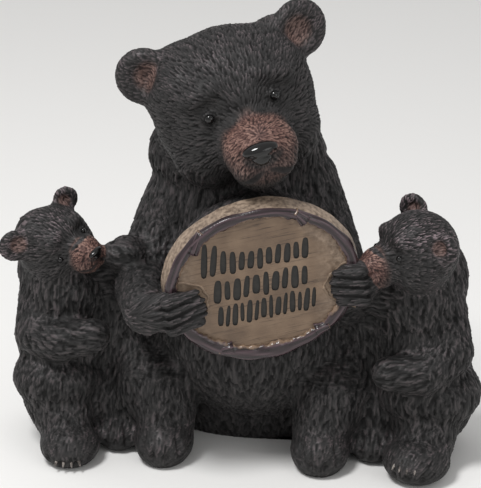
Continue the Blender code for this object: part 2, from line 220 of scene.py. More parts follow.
def glossBlack():
    # Gloss enamel dots for the eyes and noses: a hard, clean highlight.
    material, tree, shader = newMaterial("gloss_black_enamel")
    shader.inputs["Base Color"].default_value = hexColour("#0b0a0a")
    shader.inputs["Roughness"].default_value = 0.12
    return material


# The forms, in millimetres. A ball is (centre, radii) with a turn where it has one, and a limb is a
# run of (x, y, z, radius). Each bear's head is 60 units wide in its own frame and looks along -Y.

plaque = {"width": 67.5, "height": 56, "thickness": 8.5, "flare": 1.8, "faceSunk": 0.6,
    "centre": (9.4, -33.5, 74), "turn": (3, -10, 13), "leftPaw": -3.0, "rightPaw": -6.5}
plaqueFrame = placed(plaque["centre"], plaque["turn"])
plaqueHalf = plaque["width"] / 2
plaqueFront = -plaque["thickness"]


def onPlaque(x, y, z):
    return tuple(plaqueFrame @ Vector((x, y, z)))


mother = {
    "head": placed((-1.9, -4, 123.6), (-3, -14.6, 18)) @ Matrix.Scale(0.99, 4),
    "ears": ((-27.3, 3, 19.5, 10.4, -18), (29.5, 3, 19.5, 10.6, 18)),
    "eyes": ((-12.4, -23.2, 5.6), (10.9, -23.4, 6.8)),
    "nose": -1.3,
    "masses": (
        ((4, 13, 22), (44, 27, 34)), ((4, 9, 40), (41, 39, 34)), ((3, 7, 62), (35, 34, 34)),
        ((0, 8, 86), (29, 25, 26)), ((-2.5, 7, 104), (32, 21, 21)),
        ((-36, -2, 22), (14, 22, 24)), ((40, -2, 22), (14, 22, 24)),
    ),
    "arms": (
        ((-19.5, 7, 93, 13), (-26, 4, 79, 12.6), (-29.5, -1, 70, 12), (-34, -13, 61, 10.5),
            (*onPlaque(-plaqueHalf - 6, plaqueFront + 6, plaque["leftPaw"] - 1), 8)),
        ((20.5, 7, 94, 13), (25.5, 4, 81, 13), (30, -1, 71, 12.5), (38, -12, 58, 10),
            (*onPlaque(plaqueHalf + 2, plaqueFront + 11, plaque["rightPaw"] - 5), 7)),
    ),
    "legs": (
        ((-27, -4, 26, 17), (-27, -14, 23, 13.5), (-25, -21, 12, 10.5)),
        ((33, -4, 26, 17), (33, -15.6, 23, 13.5), (30.5, -22.6, 12, 10.5)),
    ),
    "balls": (
        (onPlaque(-plaqueHalf + 2, plaqueFront - 0.2, plaque["leftPaw"]), (11, 5.2, 7.4), (0, -4, 13)),
        (onPlaque(plaqueHalf - 3.5, plaqueFront - 0.2, plaque["rightPaw"]), (8, 5.2, 8), (0, -4, 13)),
        ((-25, -25.5, 6.5), (10.6, 13.5, 9.4)), ((30.5, -27.1, 6.5), (10.6, 13.5, 9.4)),
    ),
    "feet": (((-25, -25, 10), 13, 0, 4, 22), ((30.5, -26.5, 10), 13, 0, 4, 22)),
}
leftCub = {
    "head": placed((-64.4, -14, 75.1), (-10.4, -25.1, 55.2)) @ Matrix.Scale(0.47, 4),
    "ears": ((-29, 3, 21, 13, -24), (29, 3, 19.4, 10.6, -30)),
    "eyes": ((-15.6, -20.9, -0.2), (11.7, -23.6, 5.2)),
    "nose": 0.5,
    "masses": (
        ((-63.5, -1, 19.5), (19, 18, 22)), ((-62.5, -9, 40), (18.5, 16, 22)), ((-62, -12, 57), (15, 13, 15)),
        ((-66.5, -7, 63), (13.5, 12, 15)), ((-46, -6, 48), (12, 12, 22)),
    ),
    "arms": (
        ((-69.5, -12, 56, 8.8), (-70.5, -19, 43, 8.5), (-61, -26, 43, 7.4), (-49, -29, 47, 6)),
        ((-54, -8, 58, 8), (-46, -10, 67, 6.5), (-39, -14, 73, 6)),
    ),
    "legs": (((-64, -17, 18, 13), (-60, -26, 9, 9)),),
    "balls": (
        ((-64.5, -17, 26), (16, 15, 12)), ((-58, -31.3, 6), (10.8, 12, 7.8), (0, 0, 12)),
        ((-46, -6, 16), (12, 16, 17)), ((-42.5, -16, 5.5), (9, 11.5, 7)),
        ((-40, -17, 73), (8, 6, 5), (0, 0, -15)),
    ),
    "feet": (((-58, -29, 8), 12.5, 6, 4, 24), ((-42.5, -17, 8), 10, 0, 3, 24)),
}
rightCub = {
    "head": placed((62.2, -22, 79.6), (-1.8, 4.4, -61.6)) @ Matrix.Scale(0.508, 4),
    "ears": ((-29, 10, 19, 11.6, 34), (27, 5.5, 13, 11, 24)),
    "eyes": ((-12.4, -23.4, 2), (16.0, -21, 4.6)),
    "nose": 0.5,
    "masses": (
        ((65.5, -3, 20.5), (19.5, 18, 23)), ((64, -11, 44), (17.5, 16, 24)), ((63, -15, 60), (15, 13, 15)),
        ((67.2, -9, 65), (13.5, 12, 17)), ((47, -6, 48), (11, 12, 22)),
    ),
    "arms": (
        ((71, -14, 58, 8.8), (74.5, -21, 43, 8.5), (66, -28, 37, 7.4), (54, -31, 38, 6)),
        ((54, -16, 60, 8), (48, -16, 62, 6.5)),
    ),
    "legs": (((67, -17, 18, 13), (67.5, -26, 9, 9.5)),),
    "balls": (
        ((68, -16, 26), (18.5, 16, 13)), ((64.4, -32.5, 6.5), (12, 12.5, 7.8), (0, 0, 14)),
        ((50, -6, 16), (12, 16, 17)), ((48.5, -16, 5.5), (9, 12, 7)),
    ),
    "feet": (((65, -31.5, 8.5), 12.5, -28, 4, 24), ((48.5, -17, 8), 10, 0, 3, 24)),
}
bears = (mother, leftCub, rightCub)
bearNames = {"mother": mother, "left_cub": leftCub, "right_cub": rightCub}

sculpting = {
    "massVoxel": 1.5, "massPasses": 16,
    "limbVoxel": 1.1, "limbPasses": 5,
    "furVoxel": 0.58, "furPasses": 2, "headPasses": 3,
    "strokeLift": 1.25, "strokeSink": 0.55, "fingerPitch": 3.4,
}

deselectAll()
bpy.ops.mesh.primitive_uv_sphere_add(segments=28, ring_count=14, radius=1)
ballObject = bpy.context.object
ballMesh = ballObject.data.copy()
bpy.data.objects.remove(ballObject)


def ball(shapes, where, centre, radii, turn=(0, 0, 0)):
    shape = ballMesh.copy()
    shape.transform(where @ placed(centre, turn) @ Matrix.Diagonal((*radii, 1)))
    shapes.append(shape)


def limb(shapes, joints):
    for start, end in zip(joints, joints[1:]):
        run = Vector(end[:3]) - Vector(start[:3])
        steps = max(2, math.ceil(run.length / (0.3 * min(start[3], end[3]))))
        for i in range(steps + 1):
            share = i / steps
            radius = start[3] + (end[3] - start[3]) * share
            ball(shapes, Matrix(), Vector(start[:3]) + run * share, (radius,) * 3)


def earFrame(ear):
    x, y, z, _, turn = ear
    return placed((x, y, z), (0, math.copysign(35, x), turn))


def earDisc(local, ear):
    # Places in the head's units, as places in the ear's disc: 1 at its rim.
    return within(local, earFrame(ear)) / [ear[3], 6, ear[3]]


def fused(base, shapes, voxel, passes):
    # One closed skin over everything, softened where the forms meet.
    meshes = shapes + ([base] if base else [])
    obj = joined(meshes, "sculpture")
    remesh = obj.modifiers.new("Remesh", "REMESH")
    remesh.mode = "VOXEL"
    remesh.voxel_size = voxel
    smooth = obj.modifiers.new("Smooth", "SMOOTH")
    smooth.factor = 0.5
    smooth.iterations = passes
    mesh = applied(obj).data
    bpy.data.objects.remove(obj)
    return mesh


def massForms():
    shapes = []
    for bear in bears:
        ball(shapes, bear["head"], (0, 1, 2), (29, 28, 27))
        for side in (-1, 1):
            ball(shapes, bear["head"], (side * 14, -7, -9), (13, 15, 14))
        for centre, radii in bear["masses"]:
            ball(shapes, Matrix(), centre, radii)
    # The mother's crown is broad between her ears.
    for crown in ((-12.5, 2, 10.6), (11, 2, 9.2)):
        ball(shapes, mother["head"], crown, (17.5, 22, 17))
    ball(shapes, leftCub["head"], (-6, 2, 10), (23, 20, 23.5))
    chest = (plaque["width"] * 0.42, 15.5, plaque["height"] * 0.42)
    ball(shapes, plaqueFrame, (0, 13, 0), chest)
    return shapes


def limbForms():
    shapes = []
    for bear in bears:
        head = bear["head"]
        ball(shapes, head, (0.5, -20, -6), (14.5, 13, 12.5))
        ball(shapes, head, (0.5, -31, -7.8), (13, 12, 10.8))
        ball(shapes, head, (0, -27, -14), (10.5, 11.5, 8.5))
        if bear is not mother:
            ball(shapes, head, (0.5, -27, -5), (14.5, 14, 12))
            ball(shapes, head, (0.5, -30, -10), (14, 12, 12))
        for side in (-1, 1):
            ball(shapes, head, (side * 10, -17, 13), (11, 7.4, 6), (0, side * 12, 0))
            ball(shapes, head, (side * 5, -35, -11.5), (6.5, 6.5, 6))
            if bear is mother:
                ball(shapes, head, (side * 20, 3, 21.5), (8, 6.5, 5.5))
        for ear in bear["ears"]:
            ball(shapes, head @ earFrame(ear), (0, 0, 0), (ear[3], 5.4, ear[3]))
        for joints in (*bear["arms"], *bear["legs"]):
            limb(shapes, joints)
        for form in bear["balls"]:
            ball(shapes, Matrix(), *form)
    return shapes


def detailForms():
    shapes = []
    for bear in bears:
        head = bear["head"]
        ball(shapes, head, (bear["nose"], -42.4, -4.6), (5.6, 3.2, 3.0))
        ball(shapes, head, (bear["nose"], -42.2, -7), (3.2, 2.8, 2.6))
        for eye in bear["eyes"]:
            ball(shapes, head, Vector(eye) + Vector((0, 1.1, 0)), (3.0, 2.4, 2.4))
    for side, reach, rise in ((-1, 12.5, plaque["leftPaw"]), (1, 10.5, plaque["rightPaw"])):
        for i in range(4):
            z = rise + (i - 1.5) * sculpting["fingerPitch"]
            bend = 1.4 * (abs(i - 1.5) - 0.5)
            knuckle = onPlaque(side * (plaqueHalf - 1), plaqueFront - 4.2, z)
            tip = onPlaque(side * (plaqueHalf - reach + bend), plaqueFront - 1.6, z)
            limb(shapes, ((*knuckle, 2.2), (*tip, 1.7)))
    return shapes


def vectors(mesh, name="co"):
    values = np.empty(len(mesh.vertices) * 3, np.float32)
    mesh.vertices.foreach_get(name, values)
    return values.reshape(-1, 3).astype(float)


def moved(mesh, points):
    mesh.vertices.foreach_set("co", points.astype(np.float32).ravel())
    mesh.update()


def smoothstep(low, high, value):
    share = np.clip((value - low) / (high - low), 0, 1)
    return share * share * (3 - 2 * share)


def within(points, matrix):
    inverse = np.array(matrix.inverted())
    return points @ inverse[:3, :3].T + inverse[:3, 3]


def dented(points, centre, radius, push):
    near = np.sum((points - np.array(centre)) ** 2, axis=1) / radius ** 2
    points += np.clip(1 - near, 0, 1)[:, None] ** 2 * np.array(push)


def nearestOnLine(points, line):
    # How far each point is from a line of points, and the line's direction there.
    gaps = np.full(len(points), np.inf)
    aims = np.zeros((len(points), 3))
    for start, end in zip(line, line[1:]):
        start, run = np.array(start, float), np.array(end, float) - np.array(start, float)
        along = np.clip((points - start) @ run / (run @ run), 0, 1)
        gap = np.linalg.norm(points - start - along[:, None] * run, axis=1)
        closer = gap < gaps
        gaps[closer] = gap[closer]
        aims[closer] = run / np.linalg.norm(run)
    return gaps, aims


def grooved(points, normals, line, width, depth):
    gaps, _ = nearestOnLine(points, line)
    points -= normals * (np.clip(1 - (gaps / width) ** 2, 0, 1) ** 1.5 * depth)[:, None]


def carveHeads(mesh):
    points, normals = vectors(mesh), vectors(mesh, "normal")
    for bear in bears:
        head = bear["head"]
        scale = head.to_scale().x
        for x, y, z in bear["eyes"]:
            inward = head.to_3x3() @ Vector((math.copysign(0.4, x), 2.0, 0))
            dented(points, head @ Vector((x * 0.92, y - 1.5, z - 0.5)), 9.5 * scale, inward)
        for ear in bear["ears"]:
            bowl = head @ earFrame(ear)
            side = math.copysign(1, ear[0])
            push = bowl.to_3x3() @ Vector((0, 4.6, 0))
            dented(points, bowl @ Vector((-side * 1.5, -5, -1)), ear[3] * 0.86 * scale, push)
    moved(mesh, points)


def mouthLines(bear):
    # The cleft under the nose and the two sides of the mouth, in the head's own units.
    nose = bear["nose"]
    cleft = ((nose, -46, -7), (nose * 0.6, -44, -12))
    sides = [((nose * 0.6, -44, -12), (side * 5.5, -40.5, -15), (side * 11.5, -33, -14)) for side in (-1, 1)]
    return cleft, *sides


def carveMouths(points, normals):
    for bear in bears:
        scale = bear["head"].to_scale().x
        for line in mouthLines(bear):
            grooved(points, normals, [bear["head"] @ Vector(p) for p in line], 1.6 * scale, 1.7 * scale)


def pawGaps(points):
    # Where the gaps between the mother's fingers are on the plaque: 1 in their middles.
    local = within(points, plaqueFrame)
    gaps = np.zeros(len(points))
    pitch = sculpting["fingerPitch"]
    for side, rise in ((-1, plaque["leftPaw"]), (1, plaque["rightPaw"])):
        turn = (local[:, 2] - rise + side * 0.12 * (local[:, 0] - side * plaqueHalf)) / pitch
        beside = (turn - np.clip(np.round(turn), -1, 1)) * pitch
        outward = side * local[:, 0] - plaqueHalf
        reach = smoothstep(7, 0, outward) * (outward > -16) * (local[:, 1] < plaqueFront - 0.2) * (np.abs(turn) < 2.6)
        gaps = np.maximum(gaps, np.clip(1 - (beside / 0.75) ** 2, 0, 1) * reach)
    return gaps


def carvePaws(points, normals):
    points -= normals * (pawGaps(points) * 1.15)[:, None]


def carveToes(points, normals):
    for bear in bears:
        for centre, length, aim, count, spread in bear["feet"]:
            for i in range(count):
                angle = math.radians(aim + (i - (count - 1) / 2) * spread)
                out = Vector((math.sin(angle), -math.cos(angle), 0))
                line = [Vector(centre) + out * length * share + Vector((0, 0, drop))
                    for share, drop in ((0.55, 2.2), (0.85, 0.4), (1.05, -5))]
                grooved(points, normals, line, 1.5, 1.5)


# The fur. Each style is a kind of stroke: how far apart, how long, half how wide, how high and how
# unruly.
furStyles = {
    "motherHead": (1.2, 3.2, 0.48, 0.6, 0.13),
    "motherMuzzle": (0.95, 1.9, 0.4, 0.3, 0.12),
    "cubHead": (0.95, 2.3, 0.42, 0.38, 0.15),
    "cubMuzzle": (0.8, 1.4, 0.36, 0.2, 0.15),
    "ear": (1.15, 2.2, 0.46, 0.24, 0.2),
    "body": (1.9, 4.8, 0.82, 0.85, 0.3),
    "mane": (2.0, 6.4, 0.84, 0.95, 0.18),
    "paw": (1.25, 4.4, 0.46, 0.36, 0.08),
    "skin": (1.2, 1.2, 0.5, 0.05, 0.1),
}
styleNames = list(furStyles)


def hairTurn(flow):
    # How upright the fur lies, for the fine streaks of painted light and shade along the hairs.
    return np.abs(flow[:, 2]) / np.maximum(np.linalg.norm(flow, axis=1), 1e-6)


def furMap(points, normals):
    # Which style each point has, which way its fur lies, how much of each paint and of the painted top light it
    # takes, where it is bare and where it needs the finest mesh.
    count = len(points)
    bare = np.zeros(count)
    fine = np.zeros(count, bool)
    style = np.full(count, styleNames.index("body"))
    style[points[:, 2] > 84] = styleNames.index("mane")
    outward = points * [1, 1, 0] - [3, 5, 0]
    flow = outward / np.maximum(np.linalg.norm(outward, axis=1), 1)[:, None] * 0.35 + [0, 0, -1]
    upward = smoothstep(-0.3, 0.75, normals[:, 2])
    # Painted top light in the dry brush: more of it higher up and on faces that turn up, and more on the cubs higher
    # up.
    dryAndPaintedLight = 0.02 + 0.1 * smoothstep(60, 110, points[:, 2]) + 0.1 * upward
    cubSide = smoothstep(45, 58, np.abs(points[:, 0] + 1))
    dryAndPaintedLight += 0.12 * cubSide * smoothstep(5, 60, points[:, 2])
    warm = np.zeros(count)
    for bear in bears:
        for joints in (*bear["arms"], *bear["legs"]):
            radius = max(joint[3] for joint in joints)
            gaps, aims = nearestOnLine(points, [joint[:3] for joint in joints])
            near = np.exp(-(gaps / (radius * 1.15)) ** 4)[:, None]
            flow = flow * (1 - near) + (aims + [0, 0, -0.25]) * near
        for centre, length, aim, _, _ in bear["feet"]:
            reach = np.linalg.norm((points - np.array(centre)) / [1, 1.1, 1], axis=1)
            near = smoothstep(length * 1.15, length * 0.9, reach) * (points[:, 2] < centre[2] + 4)
            out = np.array([math.sin(math.radians(aim)), -math.cos(math.radians(aim)), -0.4])
            flow = flow * (1 - near[:, None]) + out * near[:, None]
            style[near > 0.5] = styleNames.index("paw")
            # Paler streaks of dry brush and painted top light on the top of the foot, bare pads under it.
            dryAndPaintedLight = dryAndPaintedLight + near * smoothstep(3, 7, points[:, 2]) * 0.3
            bare = np.maximum(bare, near * smoothstep(5.5, 3, points[:, 2]) * 0.8)
    for side, rise in ((-1, plaque["leftPaw"]), (1, plaque["rightPaw"])):
        local = within(points, plaqueFrame)
        offset = (local - [side * (plaqueHalf - 1), plaqueFront, rise]) / [15, 9, 9.5]
        near = smoothstep(1.15, 0.9, np.linalg.norm(offset, axis=1))[:, None]
        inward = np.array(plaqueFrame.to_3x3() @ Vector((-side, 0.25, 0)))
        flow = flow * (1 - near) + inward * near
        style[near[:, 0] > 0.5] = styleNames.index("paw")
        fine |= near[:, 0] > 0.5
        dryAndPaintedLight = np.maximum(dryAndPaintedLight, near[:, 0] * 0.5)
    gaps = pawGaps(points)
    dryAndPaintedLight *= 1 - gaps
    bare = np.maximum(bare, gaps)
    for bear in bears:
        local = within(points, bear["head"])
        isMother = bear is mother
        skull = np.linalg.norm((local - [0, 1, 2]) / [31, 30, 29], axis=1)
        snout = np.linalg.norm((local - [0.5, -27, -8]) / [15.5, 17, 13], axis=1)
        onHead = np.maximum(smoothstep(1.12, 1.0, skull), smoothstep(1.12, 1.0, snout))
        for ear in bear["ears"]:
            onHead = np.maximum(onHead, smoothstep(1.2, 1.05, np.linalg.norm(earDisc(local, ear), axis=1)))
        focus = np.array([0.3, -38, -2.0])
        away = (local - focus) @ np.array(bear["head"].to_3x3()).T
        away /= np.maximum(np.linalg.norm(away, axis=1), 0.1)[:, None]
        flow = flow * (1 - onHead[:, None]) + away * onHead[:, None]
        style[onHead > 0.5] = styleNames.index("motherHead" if isMother else "cubHead")
        muzzle = (np.linalg.norm((local - [0.5, -33, -8]) / [15.5, 15, 15], axis=1) < 1) & (onHead > 0.5)
        style[muzzle] = styleNames.index("motherMuzzle" if isMother else "cubMuzzle")
        fine |= (onHead > 0.4) & (local[:, 1] < (2 if isMother else 10))
        # Painted top light: the crown takes more of the dry brush towards its top and where it turns up.
        crown = smoothstep(4, 24, local[:, 2]) * (0.34 if isMother else 0.95) + 0.15 + 0.06 * upward
        if bear is rightCub:
            crown = crown * 1.2 + 0.4
        dryAndPaintedLight = dryAndPaintedLight * (1 - onHead) + crown * onHead
        # The wash is strongest on top of the muzzle and thins out to the lips and the chin.
        reach = [14.5, 17, 13.5] if isMother else [17, 17, 17]
        middle = [0.5, -37, -5] if isMother else [0.5, -37, -8]
        lips = 0.35 if isMother else 0.7
        wash = smoothstep(1.12, 0.75, np.linalg.norm((local - middle) / reach, axis=1))
        wash *= lips + (1 - lips) * smoothstep(-14, -1, local[:, 2])
        warm = np.maximum(warm, wash * (onHead > 0.4))
        for line in mouthLines(bear):
            gap, _ = nearestOnLine(local, line)
            dark = smoothstep(2.2, 1.0, gap) * (onHead > 0.4)
            bare = np.maximum(bare, dark)
            warm, dryAndPaintedLight = warm * (1 - 0.85 * dark), dryAndPaintedLight * (1 - dark)
        for ear in bear["ears"]:
            disc = earDisc(local, ear)
            onEar = smoothstep(1.2, 1.05, np.linalg.norm(disc, axis=1))
            style[onEar > 0.5] = styleNames.index("ear")
            side = math.copysign(1, ear[0])
            bowl = np.linalg.norm((disc - [-side * 0.18, -0.4, -0.12]) / [0.62, 1.1, 0.62], axis=1)
            warm = np.maximum(warm, smoothstep(1.0, 0.5, bowl) * 0.45 * (disc[:, 1] < 0.2))
            # Painted light: one of the right cub's ears takes the full dry brush over its shaded face.
            if bear is rightCub and side < 0:
                dryAndPaintedLight = np.maximum(dryAndPaintedLight, onEar)
        for x, y, z in bear["eyes"]:
            side = math.copysign(1, x)
            eye = np.linalg.norm(local - [x, y, z], axis=1)
            style[(eye < 3.6) & (onHead > 0.5)] = styleNames.index("skin")
            corner = np.linalg.norm((local - [x - side * 3, y - 2, z]) / [9.5, 8, 6.5], axis=1)
            dark = np.maximum(smoothstep(8.5, 4.5, eye), smoothstep(1.2, 0.5, corner) * 0.9)
            dryAndPaintedLight = dryAndPaintedLight * (1 - dark)
            warm = warm * (1 - np.maximum(smoothstep(8, 5, eye), smoothstep(1, 0.6, corner)))
        nose = np.linalg.norm((local - [bear["nose"], -42.6, -5.4]) / [6.4, 3.6, 4.2], axis=1)
        style[nose < 1.05] = styleNames.index("skin")
        warm = warm * (1 - 0.8 * smoothstep(1.5, 1.1, nose) * smoothstep(-4, -8, local[:, 2]))
    return style, flow, np.clip(dryAndPaintedLight, 0, 1.4), warm, bare, fine


def furSeeds(points, style):
    # One stroke starts in each cell of a grid as fine as the style's spacing.
    shuffled = random.permutation(len(points))
    chosen = []
    for number, name in enumerate(styleNames):
        own = shuffled[style[shuffled] == number]
        cells = np.floor(points[own] / furStyles[name][0]).astype(np.int64)
        _, first = np.unique(cells @ [1, 4096, 4096 * 4096], return_index=True)
        chosen.append(own[first])
    return np.concatenate(chosen)


def furHeights(points, normals, style, flow, neighbours=8):
    # The height of the highest stroke over each point, from 0 in the cuts to 1 on the locks, and how
    # high its kind of stroke stands.
    seeds = furSeeds(points, style)
    sizes = np.array([furStyles[name] for name in styleNames])[style[seeds]]
    normal = normals[seeds]
    aim = flow[seeds] - normal * np.sum(flow[seeds] * normal, axis=1)[:, None]
    aim /= np.maximum(np.linalg.norm(aim, axis=1), 1e-6)[:, None]
    across = np.cross(normal, aim)
    turn = (random.normal(0, 1, len(seeds)) * sizes[:, 4])[:, None]
    aim, across = aim * np.cos(turn) + across * np.sin(turn), across * np.cos(turn) - aim * np.sin(turn)
    length = sizes[:, 1] * random.uniform(0.75, 1.2, len(seeds))
    width = sizes[:, 2] * random.uniform(0.85, 1.2, len(seeds))
    # Tufts: the strokes rise and fall together over a few millimetres.
    x, y, z = points[seeds].T
    tuft = np.sin(0.55 * x + 2 * np.sin(0.31 * z)) * np.sin(0.5 * z + 1.7 * np.sin(0.4 * x + 0.45 * y))
    height = random.uniform(0.62, 1, len(seeds)) * (0.88 + 0.12 * tuft)
    tree = KDTree(len(seeds))
    for number, seed in enumerate(seeds):
        tree.insert(points[seed], number)
    tree.balance()
    near = np.array([[found[1] for found in tree.find_n(point, neighbours)] for point in points])
    relief = np.zeros(len(points))
    rise = np.zeros(len(points))
    for k in range(neighbours):
        own = near[:, k]
        offset = points - points[seeds[own]]
        along = np.sum(offset * aim[own], axis=1) / length[own] + 0.5
        beside = np.sum(offset * across[own], axis=1) / (width[own] * (1.1 - 0.65 * np.clip(along, 0, 1) ** 2))
        facing = np.sum(normals * normal[own], axis=1) > 0.2
        lift = smoothstep(0, 0.3, along) * smoothstep(1.0, 0.86, along) * (0.45 + 0.55 * np.clip(along, 0, 1))
        shape = lift * np.clip(1 - beside ** 2, 0, 1) ** 0.8 * height[own] * facing
        better = shape > relief
        relief[better] = shape[better]
        rise[better] = sizes[own[better], 3]
    return relief, rise


def refinedHeads(mesh):
    # The faces of the heads and of the mother's paws have the finest strokes, so they are split once more.
    coarse = ~furMap(vectors(mesh), vectors(mesh, "normal"))[5]
    corners = np.empty(len(mesh.loops), np.int32)
    mesh.loops.foreach_get("vertex_index", corners)
    starts = np.empty(len(mesh.polygons), np.int32)
    mesh.polygons.foreach_get("loop_start", starts)
    chosen = ~np.logical_or.reduceat(coarse[corners], starts)
    obj = madeObject("sculpture", mesh)
    activate(obj)
    bpy.ops.object.mode_set(mode="EDIT")
    bpy.ops.mesh.select_mode(type="FACE")
    bpy.ops.mesh.select_all(action="DESELECT")
    bpy.ops.object.mode_set(mode="OBJECT")
    mesh.polygons.foreach_set("select", chosen)
    bpy.ops.object.mode_set(mode="EDIT")
    bpy.ops.mesh.subdivide(number_cuts=1)
    bpy.ops.object.mode_set(mode="OBJECT")
    smooth = obj.modifiers.new("Smooth", "SMOOTH")
    smooth.factor = 0.5
    smooth.iterations = sculpting["headPasses"]
    mesh = applied(obj).data
    bpy.data.objects.remove(obj)
    return mesh


def addValue(mesh, name, values):
    layer = mesh.attributes.new(name, "FLOAT", "POINT")
    layer.data.foreach_set("value", values.astype(np.float32))


def sculpture():
    first = fused(None, massForms(), sculpting["massVoxel"], sculpting["massPasses"])
    second = fused(first, limbForms(), sculpting["limbVoxel"], sculpting["limbPasses"])
    carveHeads(second)
    third = refinedHeads(fused(second, detailForms(), sculpting["furVoxel"], sculpting["furPasses"]))
    print("forms:", len(third.vertices), "points")
    points, normals = vectors(third), vectors(third, "normal")
    style, flow, dryAndPaintedLight, warm, bare, _ = furMap(points, normals)
    relief, rise = furHeights(points, normals, style, flow)
    depth = np.array([furStyles[name][3] for name in styleNames])[style]
    rise = np.where(rise > 0, rise, depth) * (1 - bare)
    relief = relief * (1 - 0.75 * bare) + 0.2 * bare
    carveToes(points, normals)
    carvePaws(points, normals)
    carveMouths(points, normals)
    points += normals * (rise * (relief * sculpting["strokeLift"] - sculpting["strokeSink"]))[:, None]
    moved(third, points)
    # Painted light: the ears' cuts are painted less dark, to lift the shade on the ears.
    ears = style == styleNames.index("ear")
    relief = np.where(ears, 0.2 + 0.8 * relief, relief)
    addValue(third, "relief", relief)
    addValue(third, "upright", smoothstep(0.55, 0.8, hairTurn(flow)))
    addValue(third, "hairy", np.isin(style, [styleNames.index("body"), styleNames.index("mane")]) * (1 - bare))
    addValue(third, "dryBrushAndPaintedLight", dryAndPaintedLight)
    addValue(third, "warmWash", warm)
    print("fur carved")
    return third


# The sculpture is one casting. It is cut into slices, each small enough to keep its full mesh,
# along planes that don't show: both sides of a cut share their points and their shading.
# A cut is the piece or the rest that it cuts, the plane, and what its two sides become.
cuts = (
    ("all", (0, 0, 0), (0, 0, -1), "standing", None),
    ("standing", (0, 0, 100), (0, 0, -1), "head", "bodies"),
    ("head", (0, -6, 0), (0, -1, 0), "mother_head_back", "mother_face"),
    ("bodies", (-43, 0, 0), (1, 0, 0), "left_cub", "others"),
    ("others", (48.5, 0, 0), (-1, 0, 0), "right_cub", "mother"),
    ("mother", (0, -10, 0), (0, 1, 0), "mother_front", "mother_back"),
)


def bisected(obj, place, outward):
    # Cuts away what lies beyond the plane and closes the cut.
    activate(obj)
    bpy.ops.object.mode_set(mode="EDIT")
    bpy.ops.mesh.select_all(action="SELECT")
    bpy.ops.mesh.bisect(plane_co=place, plane_no=outward, use_fill=True, clear_outer=True, threshold=0.0001)
    bpy.ops.object.mode_set(mode="OBJECT")


def slicedPieces(mesh, material):
    layer = mesh.attributes.new("castNormal", "FLOAT_VECTOR", "POINT")
    layer.data.foreach_set("vector", vectors(mesh, "normal").astype(np.float32).ravel())
    parts = {"all": madeObject("all", mesh)}
    for source, place, outward, kept, rest in cuts:
        obj = parts.pop(source)
        if rest:
            other = madeObject(rest, obj.data.copy())
            bisected(other, place, tuple(-v for v in outward))
            parts[rest] = other
        bisected(obj, place, outward)
        obj.name = kept
        parts[kept] = obj
    for name, obj in parts.items():
        finishPiece(obj, material)
        kept = np.empty(len(obj.data.vertices) * 3, np.float32)
        obj.data.attributes["castNormal"].data.foreach_get("vector", kept)
        obj.data.normals_split_custom_set_from_vertices(kept.reshape(-1, 3))
        obj.data.attributes.remove(obj.data.attributes["castNormal"])
        print(name, sum(len(p.vertices) - 2 for p in obj.data.polygons), "triangles")


def finishPiece(obj, material, materials=None):
    obj.data.transform(toFrame)
    if not materials:
        obj.data.materials.clear()
        obj.data.materials.append(material)
    obj.data.polygons.foreach_set("use_smooth", [True] * len(obj.data.polygons))
    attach(obj, "root")
    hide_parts("bear_figurine")
    return obj


resin = paintedResin()
black = glossBlack()
casting = sculpture()
castPoints = vectors(casting)
slicedPieces(casting, resin)


# Noses: a leathery pad with two nostrils, in the same gloss black as the eyes.
noseShape = {"pads": (((0, -42.9, -4.3), (6.2, 3.4, 2.6)), ((0, -42.8, -6.8), (3.4, 2.9, 2.9))),
    "nostril": (3.9, -44.9, -6.0), "nostrilRadius": 1.7, "nostrilDepth": 1.2, "voxel": 0.3}


def noses():
    for name, bear in bearNames.items():
        scale = bear["head"].to_scale().x
        shapes = []
        for centre, radii in noseShape["pads"]:
            ball(shapes, bear["head"], Vector(centre) + Vector((bear["nose"], 0, 0)), radii)
        mesh = fused(None, shapes, noseShape["voxel"] * scale, 4)
        points = vectors(mesh)
        x, y, z = noseShape["nostril"]
        for side in (-1, 1):
            push = bear["head"].to_3x3() @ Vector((-side * 0.4, noseShape["nostrilDepth"], 0.2))
            nostril = bear["head"] @ Vector((bear["nose"] + side * x, y, z))
            dented(points, nostril, noseShape["nostrilRadius"] * scale, push)
        moved(mesh, points)
        finishPiece(madeObject(name + "_nose", mesh), black)


noses()


# Eyes: small gloss beads under the lids, a little prouder on the cubs.
def eyes():
    for name, bear in bearNames.items():
        shapes = []
        proud, radius = (0.25, 1.75) if bear is mother else (0.9, 2.1)
        for eye in bear["eyes"]:
            ball(shapes, bear["head"], Vector(eye) + Vector((0, -proud, -0.2)), (radius,) * 3)
        finishPiece(joined(shapes, name + "_eyes"), black)


eyes()
print("eyes set")


# Claws on the cubs' outer feet, each a short cone aimed out and down, in pale patches that are partly worn paint and
# partly painted glints.
clawShape = {"length": 3.4, "radius": 0.85, "rise": {"left_cub": 4.2, "right_cub": 8.5}, "inside": 0.9, "drop": 1.0}


def clawPaintAndGlints():
    # Grey-brown paint in pale patches: partly worn paint and partly painted glints.
    material, tree, shader = newMaterial("claw_paint_and_glints")
    patches = noise(tree, objectPlace(tree), 1 / 0.0012)
    tree.links.new(ramp(tree, patches, ((0.35, "#2b2624"), (0.55, "#6e6661"), (0.75, "#b1aaa2"))),
        shader.inputs["Base Color"])
    shader.inputs["Roughness"].default_value = 0.35
    return material


def surfaceAlong(points, start, out):
    # Where the surface lies from a start inside it, in the direction out.
    offset = points - np.array(start)
    along = offset @ np.array(out)
    beside = np.linalg.norm(offset - along[:, None] * np.array(out), axis=1)
    return start + out * float(along[(beside < 0.8) & (along < 18)].max())


